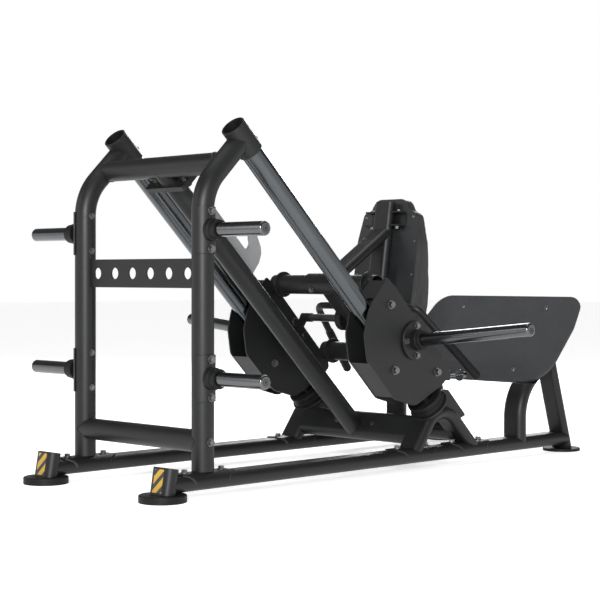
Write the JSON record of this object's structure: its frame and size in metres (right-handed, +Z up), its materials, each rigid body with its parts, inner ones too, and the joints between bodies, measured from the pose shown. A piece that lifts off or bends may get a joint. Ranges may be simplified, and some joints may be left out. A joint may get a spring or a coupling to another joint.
{
  "type": "plate loaded leg press machine",
  "caption": "Plate-loaded 45 degree leg press with a padded carriage on inclined guide rails, a fixed footplate, loading horns and storage horns.",
  "frame": {"origin": "on the floor, at the middle of the machine's box", "axes": "+X towards the footplate, +Y towards the left of the person who lies in it, +Z up"},
  "size_m": [2.318, 1.8592, 1.2789],
  "materials": {
    "powder_coat": "satin charcoal powder coat",
    "guide_chrome": "dark polished chrome",
    "horn_chrome": "polished chrome",
    "zinc": "zinc-plated steel",
    "grey_steel": "matt grey steel",
    "rubber": "matt black rubber",
    "dark_steel": "matt black paint",
    "nylon": "machined black plastic",
    "anti_slip": "fine anti-slip coat",
    "board": "black laminated board",
    "upholstery": "black grained vinyl"
  },
  "bodies": {
    "frame": {"base_rail_left": "powder_coat", "base_rail_right": "powder_coat", "rear_foot_posts": "powder_coat", "rubber_feet": "rubber", "upright_left": "powder_coat", "upright_right": "powder_coat", "base_saddles": "powder_coat", "rail_sockets": "powder_coat", "top_cross_tube": "powder_coat", "lower_cross_tube": "powder_coat", "perforated_plate": "powder_coat", "guide_rail_left": "guide_chrome", "guide_rail_right": "guide_chrome", "spine_tube": "powder_coat", "spine_flanges": "powder_coat", "catch_hook": "grey_steel", "cross_members": "powder_coat", "stop_post": "powder_coat", "stop_buffer": "rubber", "arches": "powder_coat", "rail_end_brackets": "powder_coat", "bumpers": "rubber", "curved_legs": "powder_coat", "front_legs": "powder_coat", "footplate": "anti_slip", "footplate_frame": "powder_coat", "storage_horns": "horn_chrome", "storage_collars": "rubber", "storage_saddles": "powder_coat", "frame_bolts": "zinc"},
    "carriage": {"housing_plates_left": "powder_coat", "housing_plates_right": "powder_coat", "housing_covers": "powder_coat", "carriage_top_tube": "powder_coat", "carriage_lower_tube": "powder_coat", "horn_flanges": "powder_coat", "horn_collars": "rubber", "loading_horn_left": "horn_chrome", "loading_horn_right": "horn_chrome", "roller_axles": "zinc", "pad_frame": "powder_coat", "pad_bracket": "powder_coat", "back_board": "board", "back_pad": "upholstery", "seat_frame": "powder_coat", "seat_pad": "upholstery", "handles": "powder_coat", "handle_grips": "rubber", "catch_sleeves": "dark_steel", "carriage_bolts": "zinc", "centre_beam": "powder_coat"},
    "upper_rear_roller_left": {"roller_upper_rear_left": "nylon"},
    "upper_front_roller_left": {"roller_upper_front_left": "nylon"},
    "lower_roller_left": {"roller_lower_left": "nylon"},
    "upper_rear_roller_right": {"roller_upper_rear_right": "nylon"},
    "upper_front_roller_right": {"roller_upper_front_right": "nylon"},
    "lower_roller_right": {"roller_lower_right": "nylon"},
    "catch": {"catch_shaft": "zinc", "catch_pawl": "grey_steel"},
    "pull_pin": {"release_pin": "horn_chrome"}
  },
  "joints": [
    {"name": "carriage_slide", "type": "slide", "parent": "frame", "child": "carriage", "axis": [-0.7071, 0, 0.7071], "range_m": [0, 0.65]},
    {"name": "upper_rear_roller_left_spin", "type": "hinge", "parent": "carriage", "child": "upper_rear_roller_left", "pos_m": [-0.03599, 0.3275, 0.63062], "axis": [0, 1, 0], "range_deg": [-800, 0]},
    {"name": "upper_front_roller_left_spin", "type": "hinge", "parent": "carriage", "child": "upper_front_roller_left", "pos_m": [0.22494, 0.3275, 0.3697], "axis": [0, 1, 0], "range_deg": [-800, 0]},
    {"name": "lower_roller_left_spin", "type": "hinge", "parent": "carriage", "child": "lower_roller_left", "pos_m": [-0.01308, 0.3275, 0.38624], "axis": [0, 1, 0], "range_deg": [0, 1150]},
    {"name": "upper_rear_roller_right_spin", "type": "hinge", "parent": "carriage", "child": "upper_rear_roller_right", "pos_m": [-0.03599, -0.3275, 0.63062], "axis": [0, 1, 0], "range_deg": [-800, 0]},
    {"name": "upper_front_roller_right_spin", "type": "hinge", "parent": "carriage", "child": "upper_front_roller_right", "pos_m": [0.22494, -0.3275, 0.3697], "axis": [0, 1, 0], "range_deg": [-800, 0]},
    {"name": "lower_roller_right_spin", "type": "hinge", "parent": "carriage", "child": "lower_roller_right", "pos_m": [-0.01308, -0.3275, 0.38624], "axis": [0, 1, 0], "range_deg": [0, 1150]},
    {"name": "catch_pivot", "type": "hinge", "parent": "carriage", "child": "catch", "pos_m": [0.14341, 0, 0.56818], "axis": [0, 1, 0], "range_deg": [0, 59]},
    {"name": "pull_pin_slide", "type": "slide", "parent": "carriage", "child": "pull_pin", "axis": [1, 0, 0], "range_m": [0, 0.006], "stiffness_N_per_m": 600, "springref_m": -0.01}
  ],
  "couplings": [
    {"joint": "upper_rear_roller_left_spin", "follows": "carriage_slide", "rad_per_m": -21.299},
    {"joint": "upper_front_roller_left_spin", "follows": "carriage_slide", "rad_per_m": -21.299},
    {"joint": "lower_roller_left_spin", "follows": "carriage_slide", "rad_per_m": 30.349},
    {"joint": "upper_rear_roller_right_spin", "follows": "carriage_slide", "rad_per_m": -21.299},
    {"joint": "upper_front_roller_right_spin", "follows": "carriage_slide", "rad_per_m": -21.299},
    {"joint": "lower_roller_right_spin", "follows": "carriage_slide", "rad_per_m": 30.349}
  ]
}
